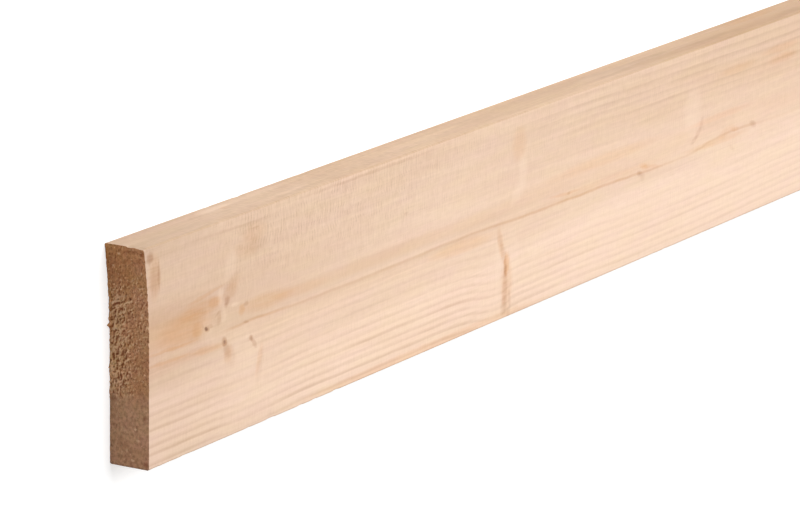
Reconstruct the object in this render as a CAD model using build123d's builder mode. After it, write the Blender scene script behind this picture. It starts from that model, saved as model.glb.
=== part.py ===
from build123d import *
import os

# A planed softwood board, one piece of sawn timber, lying flat on a wide face.
# +X runs along the board, +Y across its width and +Z up through its thickness.
# The origin is the middle of the bottom face, and the near end is the one at -X.

# The board as it was planed, in millimetres
length = 2400.0  # overall, to the tip of the toe that the saw left on the near end
width = 98.0
thickness = 20.0
arris_radius = 0.8  # the planer's easing of the four long edges

# The near end was cut by hand: square for the first half of the width, and from
# there the saw wandered outwards, which left a pointed toe along the +Y edge
toe_length = 4.0  # how far the toe stands past the square half of the cut
toe_width = 48.0  # how much of the width the wandering half takes

# The toe's top corner broke off as the saw came through: a shallow sliver that
# starts some way down in the thickness and is widest at the top face
chip_length = 3.0  # along the board's +Y edge
chip_width = 1.5  # across the board, along the end
chip_depth = 8.0  # down through the thickness

near_tip = -length / 2
near_square = near_tip + toe_length
far_end = length / 2
half_width = width / 2

with BuildPart() as plank:
    # The plan of the board, with the saw's path across the near end
    with BuildSketch(Plane.XY):
        with BuildLine():
            saw_start = (near_square, -half_width)
            saw_turn = (near_square, half_width - toe_width)
            toe_tip = (near_tip, half_width)
            Line(saw_start, saw_turn)
            TangentArc(saw_turn, toe_tip, tangent=(0, 1))
            Polyline(toe_tip, (far_end, half_width), (far_end, -half_width), saw_start)
        make_face()
    extrude(amount=thickness)

    # The planed long edges are eased, and the sawn ends stay sharp
    fillet(plank.edges().filter_by(Axis.X), radius=arris_radius)

    # One slanting break takes the sliver off the toe's top corner
    toe_corner = Vector(near_tip, half_width, thickness)
    break_plane = Plane(
        origin=toe_corner + Vector(chip_length, 0, 0),
        z_dir=(-1 / chip_length, 1 / chip_width, 1 / chip_depth),
    )
    split(bisect_by=break_plane, keep=Keep.BOTTOM)

plank.part.label = "plank"

os.makedirs("parts", exist_ok=True)
export_step(plank.part, "parts/plank.step")
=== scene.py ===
import math
from functools import cached_property

import bpy
import numpy as np
from mathutils import Matrix, Vector
from mathutils.geometry import delaunay_2d_cdt


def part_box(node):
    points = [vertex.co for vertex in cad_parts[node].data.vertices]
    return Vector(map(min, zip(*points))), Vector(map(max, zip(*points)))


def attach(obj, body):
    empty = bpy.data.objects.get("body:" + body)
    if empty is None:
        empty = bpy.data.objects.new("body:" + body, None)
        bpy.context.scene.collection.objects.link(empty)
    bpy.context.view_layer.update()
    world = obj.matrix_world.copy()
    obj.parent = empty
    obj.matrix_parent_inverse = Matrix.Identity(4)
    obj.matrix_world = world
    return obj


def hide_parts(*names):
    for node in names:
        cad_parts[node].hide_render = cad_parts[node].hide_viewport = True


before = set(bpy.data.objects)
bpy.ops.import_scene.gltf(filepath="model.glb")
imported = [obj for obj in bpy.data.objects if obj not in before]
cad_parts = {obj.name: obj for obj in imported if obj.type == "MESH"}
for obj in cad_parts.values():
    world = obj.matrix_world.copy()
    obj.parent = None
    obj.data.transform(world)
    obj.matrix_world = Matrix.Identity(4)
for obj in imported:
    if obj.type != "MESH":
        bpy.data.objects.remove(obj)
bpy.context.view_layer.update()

# The visual model of a planed softwood plank. It lies flat, with its hand-sawn near end at -X.
# Blender's unit is the metre. The wood itself is described in millimetres, as seen by someone
# who looks down on the plank: "along" runs from the square part of the near end, "across" from
# the -Y edge and "up" from the floor.

LOW, HIGH = (Vector(corner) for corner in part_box("plank"))
MM = 0.001
LENGTH = (HIGH.x - LOW.x) / MM
WIDTH = (HIGH.y - LOW.y) / MM
THICKNESS = (HIGH.z - LOW.z) / MM

# The shape of the near end, as the plank's solid has it
ARRIS = 0.8
TOE_LENGTH = 4.0
TOE_WIDTH = 48.0
# The sliver that broke off the toe's +Y edge: its depth below that edge at heights above the
# floor, how far it reaches along the plank, and how far under it the end grain is squeezed
CHIP_DEPTHS = ((10.9, 0.0), (11.8, 0.45), (13.4, 0.4), (15.0, 0.2), (17.0, 0.45), (18.6, 0.6), (20.0, 0.6))
CHIP_LENGTH = 3.0
CHIP_REACH = 6.0


# The camera and the light

CAMERA_PLACE = Vector((-2.861, 0.5471, 1.1275))
CAMERA_AIM = Vector((-0.98888, -0.00222, 0.020))
CAMERA_UP = Vector((0.203715, 0.969471, -0.136480))
CAMERA_LENS = 220.468
AMBIENT = 0.31
KEY_TOWARDS = Vector((0.22, 0.50, 0.84))
KEY_STRENGTH = 2.75
KEY_SOFTNESS = math.radians(50)
FLOOR_COLOR = (0.66, 0.66, 0.66, 1.0)
FLOOR_GLOW = 0.58
FLOOR_SIZE = 60.0


def add_camera():
    data = bpy.data.cameras.new("camera")
    data.lens = CAMERA_LENS
    data.sensor_width = 36.0
    data.clip_end = 200.0
    camera = bpy.data.objects.new("camera", data)
    bpy.context.collection.objects.link(camera)
    back = (CAMERA_PLACE - CAMERA_AIM).normalized()
    right = CAMERA_UP.cross(back).normalized()
    up = back.cross(right)
    turned = Matrix((right, up, back)).transposed().to_4x4()
    camera.matrix_world = Matrix.Translation(CAMERA_PLACE) @ turned
    bpy.context.scene.camera = camera


def seen_directly(tree):
    """1 for the rays that show the surroundings themselves, and 0 for those that light the plank."""
    path = tree.nodes.new("ShaderNodeLightPath")
    either = path.outputs["Is Camera Ray"]
    for other in ("Is Glossy Ray", "Is Transmission Ray"):
        join = tree.nodes.new("ShaderNodeMath")
        join.operation = "MAXIMUM"
        tree.links.new(either, join.inputs[0])
        tree.links.new(path.outputs[other], join.inputs[1])
        either = join.outputs[0]
    return either


def add_world():
    world = bpy.data.worlds.new("studio")
    world.use_nodes = True
    tree = world.node_tree
    tree.nodes.clear()
    output = tree.nodes.new("ShaderNodeOutputWorld")
    mix = tree.nodes.new("ShaderNodeMixShader")
    room = tree.nodes.new("ShaderNodeBackground")
    room.inputs["Strength"].default_value = AMBIENT
    room.inputs["Color"].default_value = (1.0, 1.0, 1.0, 1.0)
    white = tree.nodes.new("ShaderNodeBackground")
    white.inputs["Color"].default_value = (1.0, 1.0, 1.0, 1.0)
    tree.links.new(seen_directly(tree), mix.inputs[0])
    tree.links.new(room.outputs[0], mix.inputs[1])
    tree.links.new(white.outputs[0], mix.inputs[2])
    tree.links.new(mix.outputs[0], output.inputs["Surface"])
    bpy.context.scene.world = world


def add_key_light():
    data = bpy.data.lights.new("key", "SUN")
    data.energy = KEY_STRENGTH
    data.angle = KEY_SOFTNESS
    lamp = bpy.data.objects.new("key", data)
    lamp.rotation_euler = KEY_TOWARDS.to_track_quat("Z", "Y").to_euler()
    bpy.context.collection.objects.link(lamp)


def add_floor():
    half = FLOOR_SIZE / 2
    mesh = bpy.data.meshes.new("floor")
    corners = [(-half, -half, 0), (half, -half, 0), (half, half, 0), (-half, half, 0)]
    mesh.from_pydata(corners, [], [(0, 1, 2, 3)])
    floor = bpy.data.objects.new("floor", mesh)
    bpy.context.collection.objects.link(floor)
    material = bpy.data.materials.new("pale_floor")
    material.use_nodes = True
    tree = material.node_tree
    tree.nodes.clear()
    output = tree.nodes.new("ShaderNodeOutputMaterial")
    both = tree.nodes.new("ShaderNodeAddShader")
    matte = tree.nodes.new("ShaderNodeBsdfDiffuse")
    matte.inputs["Color"].default_value = FLOOR_COLOR
    glow = tree.nodes.new("ShaderNodeEmission")
    level = tree.nodes.new("ShaderNodeMath")
    level.operation = "MULTIPLY"
    level.inputs[1].default_value = FLOOR_GLOW
    tree.links.new(seen_directly(tree), level.inputs[0])
    tree.links.new(level.outputs[0], glow.inputs["Strength"])
    tree.links.new(matte.outputs[0], both.inputs[0])
    tree.links.new(glow.outputs[0], both.inputs[1])
    tree.links.new(both.outputs[0], output.inputs["Surface"])
    mesh.materials.append(material)


# Formulas inside a material

class Number:
    """One number of a node tree, so that a material reads as sums and products."""

    def __init__(self, tree, socket):
        self.tree = tree
        self.socket = socket

    def math(self, operation, *others):
        node = self.tree.nodes.new("ShaderNodeMath")
        node.operation = operation
        for place, value in zip(node.inputs, (self, *others)):
            feed(self.tree, value, place)
        return Number(self.tree, node.outputs[0])

    def __add__(self, other):
        return self.math("ADD", other)

    def __radd__(self, other):
        return self.math("ADD", other)

    def __sub__(self, other):
        return self.math("SUBTRACT", other)

    def __rsub__(self, other):
        return (self * -1.0).math("ADD", other)

    def __mul__(self, other):
        return self.math("MULTIPLY", other)

    def __truediv__(self, other):
        return self.math("DIVIDE", other)

    def rise(self, low, high, start=0.0, end=1.0):
        """A smooth step from start, at low, to end, at high."""
        node = self.tree.nodes.new("ShaderNodeMapRange")
        node.interpolation_type = "SMOOTHSTEP"
        for name, value in zip(("Value", "From Min", "From Max", "To Min", "To Max"),
                               (self, low, high, start, end)):
            feed(self.tree, value, node.inputs[name])
        return Number(self.tree, node.outputs[0])

    def curve(self, points):
        """A smooth curve through (number, height) points, level outside them."""
        first, last = points[0][0], points[-1][0]
        bottom = min(height for _, height in points)
        top = max(height for _, height in points)
        spread = self.tree.nodes.new("ShaderNodeMapRange")
        for name, value in zip(("Value", "From Min", "From Max"), (self, first, last)):
            feed(self.tree, value, spread.inputs[name])
        node = self.tree.nodes.new("ShaderNodeFloatCurve")
        self.tree.links.new(spread.outputs[0], node.inputs["Value"])
        line = node.mapping.curves[0]
        while len(line.points) < len(points):
            line.points.new(0.5, 0.5)
        for point, (place, height) in zip(line.points, points):
            point.location = ((place - first) / (last - first), (height - bottom) / (top - bottom))
        node.mapping.update()
        return Number(self.tree, node.outputs[0]) * (top - bottom) + bottom


def feed(tree, value, place):
    """Puts a number, a colour or another node's result into an input."""
    if isinstance(value, Number):
        tree.links.new(value.socket, place)
    elif isinstance(value, bpy.types.NodeSocket):
        tree.links.new(value, place)
    else:
        place.default_value = value


def place_vector(x, y, z):
    """The vector of three numbers, the first of which is a node's result."""
    tree = x.tree
    node = tree.nodes.new("ShaderNodeCombineXYZ")
    for value, place in zip((x, y, z), node.inputs):
        feed(tree, value, place)
    return node.outputs[0]


def noise(x, y, z, size=(1.0, 1.0, 1.0), detail=2.0, roughness=0.5):
    """Soft noise around 0, about -0.5 to 0.5, with blobs of the given size along each axis."""
    tree = x.tree
    node = tree.nodes.new("ShaderNodeTexNoise")
    node.inputs["Scale"].default_value = 1.0
    node.inputs["Detail"].default_value = detail
    node.inputs["Roughness"].default_value = roughness
    scaled = place_vector(x * (1.0 / size[0]), y * (1.0 / size[1]), z * (1.0 / size[2]))
    tree.links.new(scaled, node.inputs["Vector"])
    return Number(tree, node.outputs["Fac"]) - 0.5


def mix_color(tree, blend_type, factor, base, other):
    """Another colour mixed into a base colour. The node's sockets for colours are its last ones."""
    node = tree.nodes.new("ShaderNodeMix")
    node.data_type = "RGBA"
    node.blend_type = blend_type
    feed(tree, factor, node.inputs[0])
    feed(tree, base, node.inputs[6])
    feed(tree, other, node.inputs[7])
    return node.outputs[2]


# The wood. The log's pith lies just above the top face, so that the growth rings cross it as
# straight lines on both sides of the pith and show as arcs around it on the sawn ends.

PITH_UP = 20.4
RING_AXIS = ((0, 47.6), (60, 47.8), (100, 48.0), (165, 48.2), (225, 48.0), (268, 47.2), (297, 45.8),
             (320, 46.4), (365, 46.4), (415, 45.6), (470, 45.0), (530, 45.0), (590, 45.5), (660, 46.0),
             (800, 47.5), (1000, 50.5), (1250, 51.5), (1500, 49.0), (1800, 45.5), (2100, 47.0),
             (2400, 50.0))
# How much narrower the log has become along the plank, and the share by which its rings are wider
# on the +Y side of the pith
TAPER = ((0, 0.0), (480, 0.0), (590, 1.2), (2400, 5.0))
WIDER_SIDE = 0.039

# How far each ring's dark latewood lies from the pith, and how dark it is
RINGS = ((4.6, 0.20), (7.4, 0.20), (10.8, 0.22), (15.2, 0.24), (19.4, 0.30), (23.6, 0.38),
         (27.0, 0.36), (30.4, 0.62), (34.3, 0.40), (37.5, 0.50), (41.2, 0.64), (45.4, 0.46),
         (49.6, 0.60), (53.8, 0.60))
LATEWOOD_START = 1.9
LATEWOOD_END = 0.9

# How plainly the rings show, along the plank, on the -Y side of the pith and on its +Y side
RINGS_SHOW_LOW_Y = ((0, 1.0), (250, 1.0), (340, 0.8), (600, 0.55), (900, 0.9), (1300, 0.7),
                    (2400, 1.0))
RINGS_SHOW_HIGH_Y = ((0, 0.5), (45, 0.15), (280, 0.15), (400, 0.65), (600, 0.75), (1100, 0.6),
                     (2400, 0.9))
# Where the rings on the -Y side dip beside a knot: where the dip starts, is deepest from and to,
# and ends, its depth, and how far the rings there have faded
DIPS = (((48, 68, 84, 125), 0.9, 0.55), ((270, 298, 301, 313), 2.0, 0.5))

# The pith itself, a thin dark line in the top face, and how plainly it shows
PITH_LINE = ((0, 49.4), (60, 48.2), (76, 48.8), (95, 48.5), (165, 47.5), (270, 47.9), (300, 47.2),
             (335, 46.3), (365, 46.0), (415, 45.7), (440, 45.0), (475, 44.3), (505, 45.0),
             (535, 47.6), (565, 47.0), (620, 45.8), (800, 47.9), (1000, 50.1), (1250, 51.9),
             (1500, 48.8), (1800, 45.9), (2100, 46.8), (2400, 50.2))
PITH_SHOWS = ((0, 0.0), (58, 0.1), (68, 0.75), (110, 0.65), (160, 0.45), (250, 0.6), (340, 0.7),
              (365, 0.9), (430, 0.9), (480, 0.45), (515, 0.45), (550, 0.55), (585, 0.2), (800, 0.6),
              (1300, 0.2), (1700, 0.8), (2400, 0.4))

# How far the wood has turned from pale to mid brown across the plank, at several places along it,
# and likewise how warm its colour is
BROWNING = (
    (20, ((0, 0.15), (8, 0.0), (30, 0.1), (37, 0.55), (44, 0.6), (48, 0.6), (53, 0.5), (60, 0.65),
          (67, 0.9), (76, 0.65), (85, 0.75), (98, 0.95))),
    (82, ((0, 0.35), (8, 0.25), (17, 0.2), (24, 0.3), (30, 0.5), (37, 0.4), (42, 0.5), (46, 0.5),
          (49, 0.8), (54, 1.0), (60, 1.0), (75, 0.95), (98, 0.92))),
    (165, ((0, 0.25), (8, 0.1), (27, 0.15), (35, 0.7), (40, 0.45), (45, 0.6), (47.6, 1.05), (49.3, 0.75),
           (51, 1.15), (55.5, 1.15), (58, 0.8), (63, 0.82), (75, 0.84), (98, 0.82))),
    (265, ((0, 0.1), (8, 0.1), (27, 0.15), (35, 0.5), (40, 0.45), (45, 0.6), (47.6, 0.85), (49.3, 0.65),
           (51, 0.85), (55.5, 0.7), (58, 0.6), (63, 0.66), (75, 0.67), (84, 0.76), (98, 0.9))),
    (415, ((0, 0.0), (30, 0.05), (37, 0.2), (44, 0.5), (60, 0.5), (70, 0.75), (80, 0.85), (98, 0.95))),
    (590, ((0, 0.0), (30, 0.05), (45, 0.35), (60, 0.55), (70, 0.7), (77, 0.7), (86, 0.9), (98, 1.15))),
)
WARMTH = (
    (12, ((0, 0.05), (37, 0.15), (43, 0.55), (47, 0.45), (57, 1.1), (64, 0.8), (70, 0.4), (78, 0.15),
          (98, 0.1))),
    (60, ((0, 0.0), (38, 0.1), (50, 0.25), (65, 0.2), (98, 0.1))),
    (200, ((0, 0.1), (40, 0.15), (47, 0.25), (50, 0.15), (53, 0.5), (56, 0.45), (60, 0.05), (98, 0.1))),
    (415, ((0, 0.0), (40, 0.05), (47, 0.2), (55, 0.35), (62, 0.15), (82, 0.15), (98, 0.1))),
    (590, ((0, 0.0), (40, 0.05), (47, 0.2), (55, 0.35), (64, 0.2), (79, 0.5), (87, 0.25), (98, 0.15))),
)
# The wood is a little greyer and darker towards the near end: painted shade for the light falling off
# there
NEAR_END_SHADE = ((0, 1.0), (30, 0.85), (80, 0.4), (160, 0.1), (300, 0.0))

# How much darker the wood of the narrow edges is, along the plank
EDGE_TONE = ((0, 0.05), (60, 0.1), (130, 0.25), (165, 0.45), (380, 0.5), (500, 0.65), (590, 1.0),
             (1000, 0.6), (2400, 0.8))

PALE_WOOD = (0.990, 0.752, 0.590, 1.0)
BROWNER = (0.848, 0.825, 0.785, 1.0)
WARMER = (0.930, 0.840, 0.740, 1.0)
GREYED = (0.840, 0.820, 0.810, 1.0)
PINKER = (0.990, 0.962, 0.988, 1.0)
YELLOWER = (1.0, 1.0, 0.955, 1.0)
EDGE_TINT = (0.840, 0.790, 0.710, 1.0)
EDGE_HUE = (1.0, 0.985, 0.940, 1.0)
# The next tint is painted shade on the rounded long edges, where the key light would show a lighter line
ARRIS_SHADE = (0.900, 0.890, 0.880, 1.0)
LATEWOOD_TINT = (0.785, 0.725, 0.660, 1.0)
PITH_TINT = (0.840, 0.735, 0.620, 1.0)
STREAK_TINT = (0.930, 0.920, 0.905, 1.0)
FIBRE_TINT = (0.950, 0.940, 0.925, 1.0)
FLECK_TINT = (0.920, 0.900, 0.875, 1.0)

# Up to here along the plank, what the top face shows is listed mark by mark. Beyond it, the face
# follows from the branches.
LISTED_END = 620.0

# What knots and resin have left in the top face: the middle of each mark as (along, across), its
# half length and half width, its turn in degrees, and its strength
PALE_MARKS = (
    ((44.5, 52.8), (4.6, 4.0), 0, 0.24), ((55.5, 64.5), (1.8, 3.0), 0, 0.5),
    ((58.0, 55.5), (2.0, 2.4), 0, 0.3), ((63.5, 76.5), (3.4, 5.0), -8, 0.35),
    ((66.0, 88.0), (2.4, 7.0), -6, 0.12), ((67.5, 58.6), (2.6, 0.8), 0, 0.5),
    ((77.0, 42.5), (1.2, 0.9), 0, 0.35), ((74.0, 31.0), (9.0, 11.0), 0, 0.18),
    ((68.0, 43.0), (4.0, 4.0), 0, 0.1), ((299.0, 24.0), (2.0, 15.0), 4, 0.35),
    ((313.0, 30.0), (4.5, 9.0), 10, 0.3), ((317.0, 60.0), (6.0, 3.0), 28, 0.4),
    ((321.0, 70.0), (3.0, 6.0), 0, 0.45), ((496.0, 66.0), (7.0, 9.0), 0, 0.5),
    ((563.0, 43.5), (3.0, 1.2), 0, 0.3),
)
AMBER_MARKS = (
    ((37.3, 53.2), (3.0, 2.4), 0, 0.5), ((27.0, 56.0), (15.0, 5.5), 0, 0.6),
    ((41.0, 62.6), (12.5, 2.8), 2, 0.62), ((50.5, 63.2), (3.2, 1.8), 0, 0.5),
    ((46.0, 43.0), (9.0, 1.4), -3, 0.45), ((30.0, 43.8), (22.0, 1.6), -2, 0.25),
    ((43.0, 67.6), (11.0, 0.7), 7, 0.5), ((15.0, 49.8), (17.0, 0.6), -1.5, 0.55),
    ((14.0, 44.9), (14.0, 0.6), -2, 0.4), ((62.0, 37.5), (2.4, 3.0), -30, 0.4),
    ((72.6, 55.0), (1.8, 2.0), 0, 0.6), ((93.0, 54.8), (16.0, 2.6), -1, 0.5),
    ((122.0, 54.0), (16.0, 1.8), -1, 0.3), ((83.0, 88.0), (7.0, 3.0), 0, 0.3),
    ((64.0, 65.3), (4.0, 2.4), 10, 0.3), ((66.0, 68.5), (4.0, 2.4), 18, 0.2),
    ((77.0, 82.0), (7.0, 3.5), 0, 0.25), ((87.0, 29.5), (1.5, 5.5), -18, 0.35),
    ((301.0, 37.0), (2.0, 6.5), 16, 0.4), ((306.2, 26.5), (1.5, 4.2), 4, 1.0),
    ((308.0, 27.5), (1.2, 3.6), 0, 0.5), ((307.0, 17.0), (4.0, 9.0), 0, 0.4),
    ((317.0, 83.0), (5.0, 6.0), 0, 0.4), ((264.0, 43.6), (22.0, 2.4), -1, 0.5),
    ((444.5, 47.4), (3.6, 1.3), -22, 0.4), ((452.0, 46.2), (8.0, 0.8), -9, 0.4),
    ((544.0, 48.3), (3.4, 0.9), -4, 0.55), ((534.0, 48.6), (7.0, 1.6), 10, 0.35),
    ((362.0, 49.6), (11.0, 0.6), -3, 0.5), ((597.0, 77.0), (12.0, 1.8), 0, 0.5),
    ((594.0, 82.5), (15.0, 1.6), 0, 0.4), ((545.0, 80.0), (14.0, 1.8), 0, 0.35),
    ((230.0, 1.8), (80.0, 1.6), 0, 0.5), ((4.0, 84.0), (3.4, 7.5), 0, 0.5),
    ((404.0, 47.9), (40.0, 1.6), 0, 0.3), ((404.0, 59.2), (42.0, 2.2), 0, 0.35),
    ((523.0, 45.5), (24.0, 1.3), -1, 0.5), ((526.0, 58.4), (24.0, 1.3), 0, 0.4),
)
SHADE_MARKS = (
    ((44.8, 52.6), (1.6, 0.9), -22, 0.65), ((47.6, 53.2), (1.6, 0.7), -12, 0.35),
    ((41.2, 54.8), (0.6, 1.6), 24, 0.2), ((58.7, 43.7), (1.9, 1.5), -30, 0.85),
    ((60.6, 40.0), (1.7, 3.2), 30, 0.32), ((63.2, 37.0), (3.0, 5.0), 34, 0.2),
    ((60.5, 61.2), (1.5, 1.9), -30, 0.6), ((63.0, 65.0), (3.6, 4.2), -20, 0.2),
    ((51.8, 56.6), (4.2, 3.6), 0, 0.2), ((38.0, 54.0), (7.0, 6.0), 0, 0.12),
    ((80.6, 40.5), (1.3, 0.9), -30, 0.75), ((82.8, 37.9), (2.4, 0.9), -52, 0.5),
    ((88.0, 27.0), (1.6, 6.0), -16, 0.15), ((76.2, 48.8), (1.6, 0.5), -10, 0.5),
    ((76.0, 57.0), (1.5, 0.8), 0, 0.4), ((53.0, 57.5), (1.4, 0.5), 30, 0.35),
    ((54.4, 55.2), (1.0, 2.6), -8, 0.3), ((67.0, 71.2), (3.0, 1.6), 0, 0.15),
    ((84.0, 81.5), (6.0, 3.0), 0, 0.2), ((83.0, 89.8), (2.0, 0.4), 0, 0.4),
    ((183.0, 95.4), (45.0, 0.6), 0, 0.35), ((60.0, 93.0), (26.0, 0.5), -1, 0.22),
    ((299.6, 40.0), (1.7, 4.6), 24, 0.28), ((303.2, 32.5), (1.7, 4.6), 16, 0.25),
    ((305.6, 25.0), (1.2, 3.4), 4, 0.45), ((305.4, 14.5), (1.8, 7.5), 0, 0.42),
    ((305.0, 5.5), (2.2, 4.0), 0, 0.3), ((310.0, 8.0), (1.0, 4.0), 6, 0.3),
    ((309.0, 1.8), (1.2, 2.2), 10, 0.35), ((305.0, 12.0), (5.5, 12.0), 0, 0.12),
    ((212.0, 70.0), (1.3, 0.6), 0, 0.35), ((367.0, 49.4), (1.2, 0.6), 0, 0.35),
    ((440.0, 44.8), (2.4, 1.0), -18, 0.5), ((443.5, 42.5), (2.0, 1.6), 0, 0.25),
    ((498.5, 51.0), (2.7, 1.0), 25, 0.3), ((502.4, 53.6), (2.8, 1.4), 38, 0.32),
    ((506.0, 58.0), (1.4, 3.0), -20, 0.25), ((541.0, 39.0), (2.6, 0.9), -30, 0.2),
    ((564.6, 47.2), (2.9, 1.3), -22, 0.45), ((0.5, 93.0), (1.8, 2.0), 0, 0.8),
    ((4.5, 83.0), (2.8, 5.0), 0, 0.4), ((7.4, 84.0), (0.7, 5.0), 4, 0.5),
)
DARK_MARKS = (
    ((44.4, 52.7), (1.1, 0.55), -22, 0.85), ((58.9, 43.6), (0.8, 0.7), -30, 0.55),
    ((80.6, 40.5), (0.7, 0.5), -30, 0.25), ((60.6, 61.0), (0.7, 1.0), -30, 0.12),
    ((440.3, 44.6), (1.2, 0.5), -18, 0.12), ((564.4, 47.4), (1.4, 0.5), -22, 0.08),
    ((305.5, 24.0), (0.8, 1.8), 4, 0.15),
)
# Where a branch has left paler and browner wood in the +Y edge, as (along, up)
EDGE_PALE_MARKS = (((71.0, 5.0), (9.0, 2.6), 0, 0.7), ((98.0, 5.0), (24.0, 2.2), 0, 0.5),
                   ((420.0, 9.5), (22.0, 2.4), 0, 0.4))
EDGE_AMBER_MARKS = (((588.0, 4.5), (24.0, 2.6), 0, 0.5), ((78.0, 7.5), (2.5, 1.2), 0, 0.4),
                    ((540.0, 15.0), (70.0, 3.5), 0, 0.3))
# Over this share of its half size, a mark fades inwards and outwards from its edge
MARK_SOFTNESS = 0.75
PALE_TINT = (1.0, 0.775, 0.600, 1.0)
AMBER_TINT = (0.930, 0.790, 0.630, 1.0)
SHADE_TINT = (0.700, 0.575, 0.490, 1.0)
DARK_TINT = (0.300, 0.220, 0.170, 1.0)

# The branches that the marks above leave out: how far along the plank each left the pith, its
# heading round the pith (0 is towards +Y, 90 upwards), and half its thickness for each millimetre
# that it had grown outwards
BRANCHES = ((296, -87, 0.060), (66, 86, 0.045), (58, -62, 0.080), (302, -118, 0.075), (500, -80, 0.070),
            (905, -150, 0.075), (912, -2, 0.055), (906, -60, 0.085), (1322, -3, 0.070),
            (1328, -178, 0.060), (1316, -104, 0.080), (1770, -177, 0.070), (1778, -45, 0.085),
            (2205, -3, 0.060), (2212, -98, 0.090), (2208, -178, 0.055))
# How far a branch leans along the plank for each millimetre outwards, and how far it pushes the
# rings aside
BRANCH_LEAN = 0.22
BRANCH_PUSH = 2.6
KNOT_TINT = (0.870, 0.760, 0.640, 1.0)
KNOT_HEART_TINT = (0.640, 0.500, 0.410, 1.0)

# The end grain. The near end is torn beyond these two places across the plank, the first where the
# tearing starts and the second where it is full. Its points carry a number of painted shade, named below:
# high in the hollows among the torn fibres, low on the tufts' tips.
TORN_FROM = 26.0
TORN_FULLY = 37.0
HOLLOW_SHADE = "hollow_shade"
SAWN_WOOD = (0.740, 0.405, 0.232, 1.0)
SAWN_LIT_TIPS = (0.960, 0.640, 0.390, 1.0)
SAWN_HOLLOW_SHADE = (0.520, 0.390, 0.290, 1.0)
SAWN_RESIN = (0.990, 0.930, 0.820, 1.0)
SAWN_ORANGE = (0.930, 0.850, 0.720, 1.0)
SAWN_BACK_LIT_ORANGE = (0.850, 0.430, 0.180, 1.0)
SAWN_SMOOTH = (0.930, 0.960, 1.0, 1.0)
SAWN_OLIVE = (0.980, 1.0, 0.930, 1.0)
SAWN_MAUVE = (1.0, 0.945, 0.990, 1.0)
SAWN_LOW_EDGE_SHADE = (0.760, 0.780, 0.800, 1.0)
SPECKLE_TINT = (0.560, 0.500, 0.450, 1.0)
SPECK_AND_HIGHLIGHT_COLOR = (1.000, 0.665, 0.415, 1.0)
# Dark and reddish spots of the near end, and its pale specks: the middle of each as (across, up),
# and then as above
END_MARKS = (
    ((22.8, 17.8), (1.0, 0.8), 20, 0.6), ((2.3, 18.5), (1.1, 0.8), 0, 0.6),
    ((80.7, 10.3), (1.6, 0.6), 54, 0.7), ((68.1, 3.4), (0.7, 0.5), 0, 0.8),
    ((95.3, 18.6), (0.9, 0.8), 0, 0.9), ((92.0, 17.2), (0.8, 0.5), 30, 0.5),
    ((74.5, 11.2), (0.9, 0.5), 45, 0.7), ((19.1, 14.6), (1.1, 0.45), 45, 0.5),
    ((13.3, 15.4), (0.6, 0.5), 0, 0.5), ((17.8, 2.0), (0.6, 0.5), 0, 0.5),
    ((29.4, 1.4), (1.6, 0.8), 0, 0.55), ((32.6, 3.2), (1.2, 1.0), 0, 0.4),
    ((10.0, 6.5), (2.0, 2.4), 0, 0.25), ((32.8, 9.0), (0.6, 0.4), 0, 0.5),
    ((95.6, 13.4), (0.7, 2.2), 0, 0.45), ((3.5, 14.0), (6.0, 7.0), 0, 0.3),
    ((43.0, 17.0), (11.0, 3.5), 0, 0.3), ((89.0, 8.5), (6.0, 6.5), 0, 0.14),
)
END_SPECKS = (
    ((17.2, 13.2), (0.5, 0.5), 0, 1.0), ((12.3, 14.3), (0.5, 0.6), 0, 0.6),
    ((3.3, 11.7), (0.4, 0.7), 0, 0.8), ((7.4, 8.7), (0.6, 0.5), 0, 0.45),
    ((6.0, 6.0), (1.0, 0.3), 10, 0.3), ((16.0, 7.4), (0.4, 0.9), 0, 0.25),
    ((94.2, 6.7), (0.4, 0.6), 0, 0.8), ((88.4, 3.6), (0.4, 0.5), 0, 0.6),
    ((86.4, 17.6), (0.5, 0.4), 0, 0.8), ((83.0, 13.0), (1.3, 0.3), 50, 0.5),
    ((79.9, 17.2), (1.7, 0.22), 84, 0.7), ((75.4, 4.4), (0.5, 0.4), 0, 0.7),
    ((74.9, 6.8), (0.3, 2.2), -17, 0.6), ((72.8, 3.6), (0.35, 1.9), -40, 0.6),
    ((65.0, 3.4), (2.2, 0.35), 17, 0.5), ((68.1, 17.0), (0.5, 0.5), 0, 0.8),
    ((65.9, 13.3), (0.4, 0.5), 0, 0.6),
)
END_MARK_TINT = (0.620, 0.480, 0.400, 1.0)

# The planer's short waves, clearest on the +Y side near the first whorl of knots, and the distance
# between two of them. Besides their bump, the waves darken the colour in stripes, as painted shade.
RIPPLE_STEP = 2.2
RIPPLE_SHADE = (0.880, 0.855, 0.820, 1.0)


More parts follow.
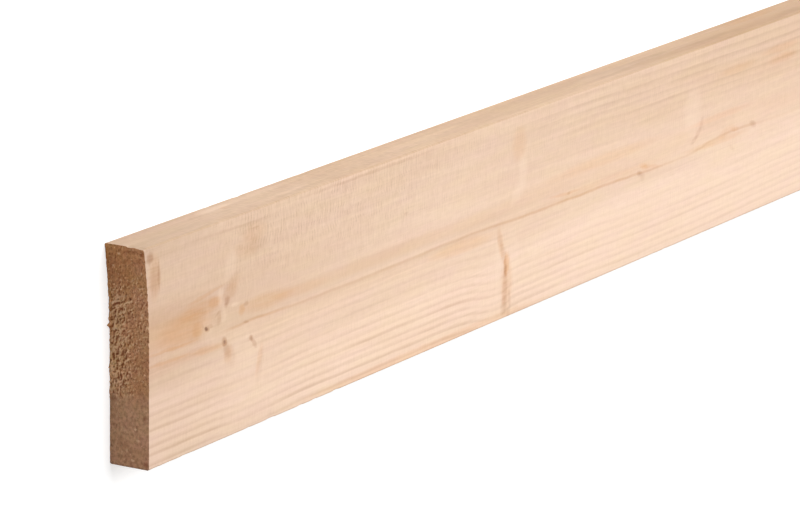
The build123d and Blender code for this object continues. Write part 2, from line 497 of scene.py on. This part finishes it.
class Wood:
    """The places and shared patterns of the wood in one material's node tree."""

    def __init__(self, tree):
        """Sets up the place in the wood, in millimetres, and how near it is to the top face."""
        self.tree = tree
        coordinates = tree.nodes.new("ShaderNodeTexCoord")
        split = tree.nodes.new("ShaderNodeSeparateXYZ")
        tree.links.new(coordinates.outputs["Object"], split.inputs[0])
        x, y, z = (Number(tree, out) for out in split.outputs)
        self.along = x * (1 / MM) + (LENGTH / 2 - TOE_LENGTH)
        self.across = y * (1 / MM) + WIDTH / 2
        self.up = z * (1 / MM)
        self.on_top = self.up.rise(THICKNESS - 7.0, THICKNESS - 1.5)

    @cached_property
    def axis(self):
        return self.along.curve(RING_AXIS)

    @cached_property
    def plan(self):
        """The place seen from above, with a 1 after it that the marks add their own places to.

        It is shifted a little by noise, so that no mark is a plain oval.
        """
        shift_along = self.noise((5.0, 3.0, 6.0), detail=3.0) * 2.0
        shift_across = self.noise((7.0, 2.0, 6.0), detail=3.0, offset=40.0) * 1.4
        return place_vector(self.along + shift_along, self.across + shift_across, 1.0)

    def noise(self, size, detail=2.0, roughness=0.5, offset=0.0):
        """Noise at each place. Another offset gives another pattern of the same kind."""
        return noise(self.along + offset, self.across, self.up, size, detail, roughness)

    def blend_along(self, tables):
        """The curves over the plank's width of several places, blended between those places."""
        value = self.across.curve(tables[0][1])
        for (start, _), (end, points) in zip(tables, tables[1:]):
            value = value + (self.across.curve(points) - value) * self.along.rise(start, end)
        return value

    @cached_property
    def dips(self):
        """How deep the rings of the -Y side dip beside knots, and how much of them is left there."""
        depth, left = 0.0, 1.0
        beside = self.across.rise(self.axis - 22.0, self.axis - 6.0, 1.0, 0.0)
        for (start, deep, still_deep, end), most, faded in DIPS:
            dip = self.along.rise(start, deep) * self.along.rise(still_deep, end, 1.0, 0.0) * beside
            depth = dip * most + depth
            left = (dip * -faded + 1.0) * left
        return depth, left

    @cached_property
    def branches(self):
        """The distance from each branch's middle line, as a share of the branch's half thickness."""
        shares = []
        waver = self.noise((16, 8, 8), detail=3.0) * 4.5
        for start, heading, growth in BRANCHES:
            heading = math.radians(heading)
            course = Vector((BRANCH_LEAN, math.cos(heading), math.sin(heading))).normalized()
            beside = self.across - self.axis + waver
            away = (self.along - start, beside, self.up - PITH_UP)
            gone = sum((part * step for part, step in zip(away, course)), 0.0)
            from_root = sum((part * part for part in away), 0.0)
            aside = (from_root - gone * gone).math("SQRT")
            shares.append(aside / (gone * growth).math("MAXIMUM", 0.02))
        return shares

    def grown_round(self, low, high):
        """1 inside each branch, fading to 0 between two shares of its half thickness."""
        total = None
        for share in self.branches:
            inside = share.rise(low, high, 1.0, 0.0)
            total = inside if total is None else total.math("MAXIMUM", inside)
        return total

    @cached_property
    def off_view(self):
        """0 on the stretch of the top face whose marks are listed one by one, and 1 elsewhere."""
        return 1.0 - self.on_top * self.along.rise(LISTED_END, LISTED_END + 100.0, 1.0, 0.0)

    @cached_property
    def radius(self):
        """The distance from the pith, in steps that are wider on the +Y side as the rings are."""
        waver = self.noise((90, 26, 26), detail=1.0) * 0.8 + self.noise((22, 6, 6), detail=2.0) * 0.9
        beside = self.across - self.axis + waver + self.dips[0]
        over = self.up - PITH_UP
        radius = (beside * beside + over * over).math("SQRT")
        pushed = self.grown_round(0.8, 3.4) * self.off_view * BRANCH_PUSH
        return radius - (radius + beside) * WIDER_SIDE + self.along.curve(TAPER) + pushed

    def latewood(self):
        """How dark the growth rings are, from 0 to 1."""
        dark = None
        for place, strength in RINGS:
            line = self.radius.rise(place - LATEWOOD_START, place) * strength
            line = line * self.radius.rise(place, place + LATEWOOD_END, 1.0, 0.0)
            dark = line if dark is None else dark.math("MAXIMUM", line)
        return dark

    def ring_strength(self):
        """How plainly the rings show at each place, with broken stretches."""
        low_side = self.along.curve(RINGS_SHOW_LOW_Y)
        high_side = self.along.curve(RINGS_SHOW_HIGH_Y) * self.across.rise(62, 86, 0.45, 1.0)
        past_pith = (self.across - self.axis).rise(-1.0, 5.0)
        strength = low_side + (high_side - low_side) * past_pith
        broken = self.noise((40, 3.0, 6), detail=4.0, offset=300.0) * 2.6 + 1.0
        return (strength + (1.0 - self.on_top) * 0.25) * broken * self.dips[1]

    def pith_line(self):
        """How dark the pith's line is in the top face."""
        middle = self.along.curve(PITH_LINE) + self.noise((14, 30, 30), offset=80.0) * 1.2
        line = (self.across - middle).math("ABSOLUTE").rise(0.0, 1.25, 1.0, 0.0)
        broken = self.noise((16, 30, 30), offset=170.0, detail=3.0) + 0.95
        return line * self.along.curve(PITH_SHOWS) * broken * self.on_top

    @cached_property
    def edge(self):
        """1 on the two narrow edges of the plank."""
        middle = WIDTH / 2
        return (self.across - middle).math("ABSOLUTE").rise(middle - 1.0, middle - 0.3)

    @cached_property
    def arris(self):
        """1 on the four rounded long edges."""
        middle = THICKNESS / 2
        return (self.up - middle).math("ABSOLUTE").rise(middle - 1.0, middle - 0.3) * self.edge

    def marks(self, marks, plan=None):
        """How strong the soft oval marks are at each place of a plan, by default the top face's."""
        total = None
        for (along, across), half_size, turn, strength in marks:
            turn = math.radians(turn)
            squares = None
            for half, heading in zip(half_size, (turn, turn + math.pi / 2)):
                step = Vector((math.cos(heading), math.sin(heading), 0.0)) / half
                step.z = -(step.x * along + step.y * across)
                gone = self.tree.nodes.new("ShaderNodeVectorMath")
                gone.operation = "DOT_PRODUCT"
                gone.inputs[1].default_value = step
                self.tree.links.new(plan or self.plan, gone.inputs[0])
                gone = Number(self.tree, gone.outputs["Value"])
                squares = gone * gone if squares is None else squares + gone * gone
            mark = squares.rise((1.0 - MARK_SOFTNESS) ** 2, (1.0 + MARK_SOFTNESS) ** 2, strength, 0.0)
            total = mark if total is None else total + mark
        return total.math("MINIMUM", 1.0)

    def top_marks(self, marks):
        """Marks of the top face, streaked along the grain."""
        return self.marks(marks) * (self.noise((11, 1.3, 1.3), detail=3.0) + 0.95) * self.on_top

    @cached_property
    def lifted(self):
        """How plainly the planer's waves and lifted fibres show at each place."""
        near = self.along.rise(40, 85) * self.along.rise(170, 310, 1.0, 0.0)
        near = near * self.across.rise(52, 88)
        return near * 0.6 + self.across.rise(46, 80, 0.2, 0.35)

    def ripple(self):
        """The planer's short waves across the grain, from 0 to 1, in small groups."""
        phase = self.noise((26, 6, 26), detail=2.0) * 14.0
        swing = (self.along * (2 * math.pi / RIPPLE_STEP) + phase).math("SINE")
        groups = self.noise((8, 2.6, 6), offset=900.0, detail=2.0).rise(-0.06, 0.2, 0.12, 1.0)
        return swing.rise(-0.4, 1.0) * groups * self.lifted

    def flecks(self):
        """Fine short marks across the grain, from 0 to 1, where fibres were lifted or pressed down."""
        flecks = self.noise((0.85, 4.5, 4.5), detail=1.0, offset=1500.0)
        return (flecks * 3.2 + 0.45) * (self.lifted * 0.9 + 0.15)


def planed_color(wood, latewood):
    """The colour of the planed faces: pale wood, with one tint after another laid over it."""
    tree = wood.tree
    streaks = wood.noise((30, 0.8, 0.8), detail=3.0) * 0.7 + wood.noise((80, 2.6, 2.6), offset=50.0)
    fibres = wood.noise((7, 0.55, 0.55), detail=3.0, roughness=0.6, offset=1100.0)
    mottles = wood.noise((4.0, 2.0, 2.0), detail=3.0, roughness=0.6, offset=1300.0)
    cloud = wood.noise((160, 16, 12), detail=3.0, offset=500.0)
    unseen = wood.along.rise(LISTED_END, LISTED_END + 180.0)
    hue = mix_color(tree, "MIX", wood.noise((26, 6, 6), detail=3.0, offset=1700.0) * 2.2 + 0.5,
                    YELLOWER, PINKER)
    brown = wood.blend_along(BROWNING) + cloud * (unseen * 1.2 + 0.35) + streaks * 0.5 + mottles * 0.5
    warm = wood.blend_along(WARMTH) + wood.noise((70, 9, 9), detail=3.0, offset=700.0) * 0.5
    edge_tone = wood.edge * (wood.along.curve(EDGE_TONE) + cloud + streaks * 0.5 + mottles * 0.5)
    knot_grain = wood.noise((5.0, 2.0, 2.0), detail=3.0, offset=1900.0) * 1.6 + 0.9
    seen_knots = wood.off_view * wood.radius.rise(3, 26, 0.2, 1.0) * knot_grain
    knots = wood.grown_round(0.3, 1.7) * seen_knots
    hearts = wood.grown_round(0.05, 0.8) * seen_knots
    tints = (
        (1.0, hue), (brown, BROWNER), (warm, WARMER), (wood.along.curve(NEAR_END_SHADE), GREYED),
        (edge_tone, EDGE_TINT), (wood.edge, EDGE_HUE), (wood.arris, ARRIS_SHADE),
        (streaks * 0.6 + 0.3, STREAK_TINT), (fibres * 1.6 + 0.4, FIBRE_TINT), (latewood, LATEWOOD_TINT),
        (wood.pith_line(), PITH_TINT), (wood.ripple(), RIPPLE_SHADE), (wood.flecks(), FLECK_TINT),
        (knots, KNOT_TINT), (hearts, KNOT_HEART_TINT),
    )
    color = PALE_WOOD
    for amount, tint in tints:
        color = mix_color(tree, "MULTIPLY", amount, color, tint)
    color = mix_color(tree, "MIX", wood.top_marks(PALE_MARKS) * 0.5, color, PALE_TINT)
    for marks, tint in ((AMBER_MARKS, AMBER_TINT), (SHADE_MARKS, SHADE_TINT), (DARK_MARKS, DARK_TINT)):
        color = mix_color(tree, "MULTIPLY", wood.top_marks(marks), color, tint)
    edge_plan = place_vector(wood.along + streaks * 5.0, wood.up + streaks * 1.5, 1.0)
    far_edge = wood.across.rise(WIDTH - 1.0, WIDTH - 0.3)
    pale = wood.marks(EDGE_PALE_MARKS, edge_plan) * far_edge
    amber = wood.marks(EDGE_AMBER_MARKS, edge_plan) * far_edge
    color = mix_color(tree, "MIX", pale * 0.4, color, PALE_TINT)
    return mix_color(tree, "MULTIPLY", amber, color, AMBER_TINT)


def add_bump(surface, height, distance, strength):
    """Fine relief on a surface: its height as a number, and how far a height of 1 stands out."""
    tree = height.tree
    bump = tree.nodes.new("ShaderNodeBump")
    bump.inputs["Distance"].default_value = distance
    bump.inputs["Strength"].default_value = strength
    tree.links.new(height.socket, bump.inputs["Height"])
    tree.links.new(bump.outputs["Normal"], surface.inputs["Normal"])


def planed_material():
    """The four planed faces, with their fine relief as bump."""
    material = bpy.data.materials.new("planed_spruce")
    material.use_nodes = True
    tree = material.node_tree
    surface = tree.nodes["Principled BSDF"]
    wood = Wood(tree)
    latewood = wood.latewood() * wood.ring_strength()
    tree.links.new(planed_color(wood, latewood), surface.inputs["Base Color"])
    fibres = wood.noise((12, 0.35, 0.35), detail=3.0)
    rough = fibres * 0.25 - latewood * 0.08 + 0.60
    tree.links.new(rough.socket, surface.inputs["Roughness"])
    height = fibres * 0.5 + latewood * 0.4 + wood.ripple() * 0.8 + wood.flecks() * 0.5
    add_bump(surface, height, 0.05 * MM, 0.8)
    surface.inputs["Specular IOR Level"].default_value = 0.35
    return material


def sawn_color(wood, hollow_shade, speckle, patches):
    """The colour of the end grain, with painted shade in its hollows and painted light on its tufts' tips.
    near_end is 1 on the torn near end.
    """
    tree = wood.tree
    near_end = wood.along.rise(40, 80, 1.0, 0.0)
    grit = wood.noise((9.0, 1.7, 1.3), offset=20.0, detail=3.0)
    hue = mix_color(tree, "MIX", wood.noise((9.0, 5.5, 4.5), offset=240.0) * 2.6 + 0.5,
                    SAWN_OLIVE, SAWN_MAUVE)
    torn = (wood.across + patches * 9.0).rise(TORN_FROM, TORN_FULLY) * near_end
    # The orange strip along the back edge: the wood's own orange, mixed lighter as painted light where the
    # floor shades it
    lit_back_edge = wood.up.rise(0.6, 2.6, 1.0, 0.0) * wood.across.rise(35, 75) * near_end
    brown_top = wood.across.rise(70, 90) * wood.up.rise(9, 18, 1.0, 0.5) * near_end
    # Painted shade along the -Y edge of the end grain
    low_edge_shade = wood.across.rise(0.2, 1.0, 1.0, 0.0) * near_end
    # Painted light and shade: tufts' tips lighter and hollows darker, by the stored shade number, with
    # speckle and grit
    light = (hollow_shade * -1.0 + 0.44) * 2.8 + speckle * (torn * 0.5 + 0.4) + grit * (1.5 - torn * 0.6)
    # Painted light low on the torn end, lighter near the floor to make up for the floor's shade there
    light = light + torn * wood.up.rise(4, 11, 0.9, -0.1) * wood.across.rise(68, 84, 1.0, 0.0)
    # Painted shade, darker still in the deepest hollows
    deep = (hollow_shade - 0.62) * 2.4 + speckle * 0.8
    speckled = speckle * (torn * 0.8 + 0.7) + grit * 2.6 + 0.28
    specks_and_highlights = wood.noise((9.0, 0.9, 0.9), offset=140.0, detail=0.0).rise(0.27, 0.33) * 0.5
    plan = place_vector(wood.across + patches * 1.0 + speckle * 0.6, wood.up + grit * 1.2, 1.0)
    color = mix_color(tree, "MIX", light, SAWN_WOOD, SAWN_LIT_TIPS)
    color = mix_color(tree, "MIX", lit_back_edge * 0.6, color, SAWN_BACK_LIT_ORANGE)
    tints = (
        (1.0, hue), (deep, SAWN_HOLLOW_SHADE), (torn * (patches * 3.0 + 0.85), SAWN_RESIN),
        (brown_top, SAWN_ORANGE), (1.0 - torn, SAWN_SMOOTH),
        (wood.latewood() * (1.8 - near_end * 1.3), LATEWOOD_TINT),
        (speckled * (near_end * 0.7 + 0.3), SPECKLE_TINT), (low_edge_shade, SAWN_LOW_EDGE_SHADE),
        (wood.marks(END_MARKS, plan) * near_end, END_MARK_TINT),
    )
    for amount, tint in tints:
        color = mix_color(tree, "MULTIPLY", amount, color, tint)
    # Painted highlights on the crests of the highest tufts, mixed in with the pale specks
    crest_highlights = hollow_shade.rise(0.06, 0.3, 0.6, 0.0) * torn
    specks_and_highlights = specks_and_highlights + wood.marks(END_SPECKS, plan) * near_end * 0.7 + crest_highlights
    return mix_color(tree, "MIX", specks_and_highlights, color, SPECK_AND_HIGHLIGHT_COLOR)


def sawn_material():
    """The end grain. The near end's mesh stores painted shade at each point: more in the hollows among the
    torn fibres, less on the tufts' tips.
    """
    material = bpy.data.materials.new("sawn_end")
    material.use_nodes = True
    tree = material.node_tree
    surface = tree.nodes["Principled BSDF"]
    wood = Wood(tree)
    stored = tree.nodes.new("ShaderNodeAttribute")
    stored.attribute_name = HOLLOW_SHADE
    hollow_shade = Number(tree, stored.outputs["Fac"])
    speckle = wood.noise((9.0, 0.75, 0.5), detail=2.0, roughness=0.6)
    patches = wood.noise((9.0, 5.0, 5.0), offset=60.0, detail=3.0)
    tree.links.new(sawn_color(wood, hollow_shade, speckle, patches), surface.inputs["Base Color"])
    saw_lines = (wood.up * -2.7 + wood.across * 3.9 + patches * 5.0).math("SINE")
    height = speckle * 1.6 + saw_lines * (1.0 - hollow_shade) * 0.12
    add_bump(surface, height, 0.25 * MM, 1.0)
    surface.inputs["Roughness"].default_value = 0.85
    surface.inputs["Specular IOR Level"].default_value = 0.2
    return material


# The mesh

# How many seeded values the noise has, and how many of them lie between neighbours in the lattice,
# along its first and its second number
LATTICE_VALUES = 4096
LATTICE_STRIDES = (73, 9151)


def lattice_noise(first, second, seed):
    """Smooth noise from -1 to 1 at each pair of numbers, from seeded values on a lattice."""
    table = np.random.default_rng(seed).uniform(-1.0, 1.0, LATTICE_VALUES)
    points = np.stack([first, second], 1)
    cell = np.floor(points).astype(np.int64)
    part = points - cell
    part = part * part * (3.0 - 2.0 * part)
    total = np.zeros(len(points))
    for corner in np.ndindex(2, 2):
        step = np.array(corner)
        weight = np.prod(np.where(step, part, 1.0 - part), axis=1)
        key = (cell + step) @ np.array(LATTICE_STRIDES)
        total += weight * table[key % LATTICE_VALUES]
    return total


def smooth_step(values, low, high):
    """A smooth step from 0, at low, to 1, at high."""
    part = np.clip((values - low) / (high - low), 0.0, 1.0)
    return part * part * (3.0 - 2.0 * part)


def section_loop(spacing, arc_steps):
    """The plank's section as a loop of (across, up) points, with their outward normals."""
    points, normals = [], []
    corners = (((WIDTH - ARRIS, ARRIS), -90, (0, 1)), ((WIDTH - ARRIS, THICKNESS - ARRIS), 0, (-1, 0)),
               ((ARRIS, THICKNESS - ARRIS), 90, (0, -1)), ((ARRIS, ARRIS), 180, (1, 0)))
    for (across, up), start, heading in corners:
        for step in range(arc_steps + 1):
            angle = math.radians(start + 90 * step / arc_steps)
            normals.append((math.cos(angle), math.sin(angle)))
            points.append((across + ARRIS * math.cos(angle), up + ARRIS * math.sin(angle)))
        side = (WIDTH if heading[0] else THICKNESS) - 2 * ARRIS
        count = max(2, round(side / spacing))
        end = points[-1]
        for step in range(1, count):
            gone = side * step / count
            points.append((end[0] + heading[0] * gone, end[1] + heading[1] * gone))
            normals.append(normals[-1])
    return np.array(points), np.array(normals)


def saw_path(across):
    """How far the near end lies from the toe's tip, at each place across the plank."""
    radius = (TOE_WIDTH ** 2 + TOE_LENGTH ** 2) / (2 * TOE_LENGTH)
    beyond = np.clip(across - (WIDTH - TOE_WIDTH), 0.0, None)
    return TOE_LENGTH - (radius - np.sqrt(radius ** 2 - beyond ** 2))


def chip_drop(across, up, distance):
    """How much lower the broken sliver leaves each point, at a distance from the toe's tip."""
    depth = np.interp(up, *zip(*CHIP_DEPTHS)) * np.clip(1.0 - distance / CHIP_LENGTH, 0.0, None)
    return depth * smooth_step(across, WIDTH - CHIP_REACH, WIDTH - ARRIS)


# The splinters left on the back of the near end: the middle of each across the plank, its half
# width, and how far it stands out
SPLINTERS = ((61.5, 1.9, 1.5), (64.5, 1.2, 0.5), (54.0, 1.4, 0.35), (42.5, 5.0, 0.8), (32.0, 2.2, 0.6),
             (71.5, 1.6, 0.35))


def tuft_shape(across, up):
    """How far each place of the near end is within a tuft of torn fibres, from about -1 to 1."""
    beside = across - RING_AXIS[0][1]
    over = up - PITH_UP
    radius = np.hypot(beside, over)
    # The distance round the pith, as it is 22 mm away from it
    around = np.arctan2(beside, -over) * 22.0
    pushed = lattice_noise(across / 3.0, up / 3.0, 10)
    tufts = lattice_noise(across / 1.05 + pushed * 0.7, up / 0.72 + pushed * 0.5, 3)
    shreds = lattice_noise(across / 0.62, up / 0.46, 4)
    rows = lattice_noise(radius / 0.7, around / 1.6, 5)
    # The hard latewood of each ring stands out, and the soft wood between the rings is torn deeper
    ringed = sum(smooth_step(-np.abs(radius - place), -1.5, -0.2) for place, _ in RINGS) - 0.45
    rowed = (1 - smooth_step(across, 68, 80)) * (1 - 0.6 * smooth_step(up, 8, 15))
    return tufts * 0.6 + shreds * 0.5 + (rows * 0.65 + ringed * 0.5) * rowed


def end_relief(across, up):
    """How far the torn fibres of the near end stand out, and how much painted shade each place gets."""
    ragged = across + lattice_noise(across / 6.0, up / 4.0, 11) * 4.0
    torn = smooth_step(ragged, TORN_FROM, TORN_FULLY) * (1 - 0.6 * smooth_step(ragged, 74, 86))
    torn *= 1 - 0.5 * smooth_step(up, 9, 16) * (1 - smooth_step(across, 50, 60))
    shape = tuft_shape(across, up)
    # Painted light and shade: each tuft is lighter on the flank of its upturned tip and darker on the side
    # away from it
    turned = shape - tuft_shape(across + 0.3, up - 0.3)
    height = shape * (0.09 + 0.36 * torn)
    frayed = np.clip(lattice_noise(across / 1.1, up / 4.0, 6) - 0.15, 0, None) * 0.5
    for middle, half_width, reach in SPLINTERS:
        frayed += reach * smooth_step(-np.abs(across - middle), -half_width, 0.0)
    # Only the bottom of the torn stretch is frayed
    frayed *= 1 - smooth_step(up, 0.4, 2.0)
    frayed *= smooth_step(across, 24, 32)
    frayed *= 1 - smooth_step(across, 74, 80)
    height += frayed
    # The stored number is painted shade: low, so lighter, on raised tufts and their lit flanks, and high,
    # so darker, in the hollows
    dark = (shape * 0.5 + turned * 0.75) * (1.35 - 0.35 * smooth_step(up, 5, 10))
    return height, np.clip(0.5 - dark * (0.3 + 0.7 * torn) * 0.62, 0.0, 1.0)


# The depth of the deepest knocks in the long edges
KNOCK_DEPTH = 0.28


def worn_edges(along, section):
    """How deep the small knocks in the long edges are, at each point of a section."""
    nearest = np.rint(section / [WIDTH, THICKNESS])
    corner = nearest @ [11.0, 29.0]
    away = np.hypot(*(section - nearest * [WIDTH, THICKNESS]).T)
    knocks = smooth_step(lattice_noise(along / 6.0 + corner * 7.0, corner, 8), 0.45, 0.95)
    # They come in groups, with whole stretches between them
    knocks = knocks * smooth_step(lattice_noise(along / 60.0 + corner, corner, 9), -0.2, 0.5)
    return KNOCK_DEPTH * knocks * (1 - smooth_step(away, 0.5, 1.6))


def zip_loops(first, second, first_places, second_places):
    """Triangles between two closed loops with different numbers of points."""
    faces = []
    i = j = 0
    n, m = len(first), len(second)
    while i < n or j < m:
        next_i = first_places[i + 1] if i < n else math.inf
        next_j = second_places[j + 1] if j < m else math.inf
        if next_i <= next_j:
            faces.append((first[i % n], first[(i + 1) % n], second[j % m]))
            i += 1
        else:
            faces.append((first[i % n], second[(j + 1) % m], second[j % m]))
            j += 1
    return faces


def loop_places(points):
    """The distance round the section at each point of a loop, ending with the whole way round."""
    steps = np.linalg.norm(np.roll(points, -1, axis=0) - points, axis=1)
    return np.concatenate([[0.0], np.cumsum(steps)]) / steps.sum()


# The height of a triangle whose three sides are 1
TRIANGLE_HEIGHT = 0.866


def fill_cap(loop, spacing):
    """A flat filling of the section's loop with even triangles: the inner points and all faces."""
    rows = int((THICKNESS - 2 * ARRIS) / (spacing * TRIANGLE_HEIGHT))
    inset = spacing * 0.6
    columns = int((WIDTH - 2 * inset) / spacing)
    inner = []
    for row in range(rows + 1):
        up = THICKNESS / 2 + (row - rows / 2) * spacing * TRIANGLE_HEIGHT
        shift = spacing / 2 if row % 2 else 0.0
        for column in range(columns):
            across = WIDTH / 2 + (column - columns / 2) * spacing + shift
            if inset < across < WIDTH - inset and inset < up < THICKNESS - inset:
                inner.append((across, up))
    flat = [Vector(point) for point in loop] + [Vector(point) for point in inner]
    border = [list(range(len(loop)))]
    made = delaunay_2d_cdt(flat, [], border, 1, 1e-6)
    assert len(made[0]) == len(flat)
    order = [sources[0] for sources in made[3]]
    faces = [tuple(order[corner] for corner in face) for face in made[2]]
    return np.array(inner), faces


# How far apart the mesh's points are on the near end, on the planed faces and on the far end, and
# into how many steps each rounded long edge is divided there
FINE = 0.31
COARSE = 5.0
PLAIN = 0.8
LOOPS = {"near": (FINE, 4), "planed": (COARSE, 5), "far": (PLAIN, 4)}
# The distance between the rows of points on the pictured stretch, and the number of rows beyond it
ROW_STEP = 2.0
ROWS_BEYOND = 240
# The plank's two materials, as they are numbered on its faces
PLANED, SAWN = 0, 1
# Over this length the near end's shape fades out of the rows of points behind it
SAW_FADE = 40.0
TEAR_FADE = 1.3


def row_distances():
    """The rows of points along the plank: close at the near end, and further apart where it is plain."""
    near = [0.35 * step + 0.035 * step * step for step in range(16)]
    pictured = np.arange(near[-1] + ROW_STEP, LISTED_END + 2 * ROW_STEP, ROW_STEP)
    beyond = np.linspace(LISTED_END + 14.0, LENGTH - 8.0, ROWS_BEYOND)
    far = [LENGTH - 4.0, LENGTH - 1.5, LENGTH - 0.4, LENGTH]
    rows = (("near", near), ("planed", (*pictured, *beyond)), ("far", far))
    return [(kind, place) for kind, places in rows for place in places]


def row_of_points(distance, section, normals):
    """One loop round the plank as (along, across, up) points, and the painted shade of each on the end."""
    across, up = section.T
    height, hollow_shade = end_relief(across, up)
    along = distance + saw_path(across) * max(0.0, 1.0 - distance / SAW_FADE)
    along = along - height * math.exp(-distance / TEAR_FADE)
    worn = section - normals * worn_edges(distance, section)[:, None]
    worn[:, 0] -= chip_drop(across, up, distance)
    if distance >= TEAR_FADE:
        hollow_shade = np.zeros(len(hollow_shade))
    return np.column_stack([along, worn]), hollow_shade


def near_cap(loop):
    """The torn near end inside its loop: the points, the painted shade of each, and the faces."""
    inner, faces = fill_cap(loop, FINE)
    across, up = inner.T
    height, hollow_shade = end_relief(across, up)
    points = np.column_stack([saw_path(across) - height, across - chip_drop(across, up, 0.0), up])
    return points, hollow_shade, [face[::-1] for face in faces]


def far_cap(loop):
    """The flat far end inside its loop, likewise."""
    inner, faces = fill_cap(loop, PLAIN)
    return np.column_stack([np.full(len(inner), LENGTH), inner]), np.zeros(len(inner)), faces


def build_plank_mesh():
    """The whole plank as one closed mesh: the loops of points along it, and a cap on each end."""
    loops = {kind: section_loop(*divisions) for kind, divisions in LOOPS.items()}
    points, hollow_shades, faces, rings = [], [], [], []
    total = 0
    for kind, distance in row_distances():
        row, hollow_shade = row_of_points(distance, *loops[kind])
        points.append(row)
        hollow_shades.append(hollow_shade)
        rings.append((kind, np.arange(total, total + len(row))))
        total += len(row)
    for (old_kind, old), (kind, new) in zip(rings, rings[1:]):
        if old_kind == kind:
            pairs = zip(old, np.roll(old, -1), np.roll(new, -1), new)
            faces += [tuple(int(corner) for corner in face) for face in pairs]
        else:
            faces += zip_loops(old.tolist(), new.tolist(), loop_places(loops[old_kind][0]),
                               loop_places(loops[kind][0]))
    materials = [PLANED] * len(faces)

    for (kind, ring), cap_inside in ((rings[0], near_cap), (rings[-1], far_cap)):
        inner, hollow_shade, cap = cap_inside(loops[kind][0].tolist())
        points.append(inner)
        hollow_shades.append(hollow_shade)
        index = np.concatenate([ring, np.arange(total, total + len(inner))])
        total += len(inner)
        faces += [tuple(int(index[corner]) for corner in face) for face in cap]
        materials += [SAWN] * len(cap)

    points = np.concatenate(points) * MM + np.array(LOW)
    mesh = bpy.data.meshes.new("plank_timber")
    mesh.from_pydata(points.tolist(), [], faces)
    mesh.attributes.new(HOLLOW_SHADE, "FLOAT", "POINT").data.foreach_set("value", np.concatenate(hollow_shades))
    mesh.polygons.foreach_set("material_index", materials)
    mesh.polygons.foreach_set("use_smooth", [True] * len(faces))
    mesh.set_sharp_from_angle(angle=math.radians(50))
    mesh.update()
    print("plank triangles", sum(len(face) - 2 for face in faces))
    return mesh


def add_plank():
    mesh = build_plank_mesh()
    mesh.materials.append(planed_material())
    mesh.materials.append(sawn_material())
    plank = bpy.data.objects.new("plank_timber", mesh)
    bpy.context.collection.objects.link(plank)
    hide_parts("plank")
    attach(plank, "root")


add_camera()
add_world()
add_key_light()
add_floor()
add_plank()

bpy.context.scene.view_settings.view_transform = "Standard"
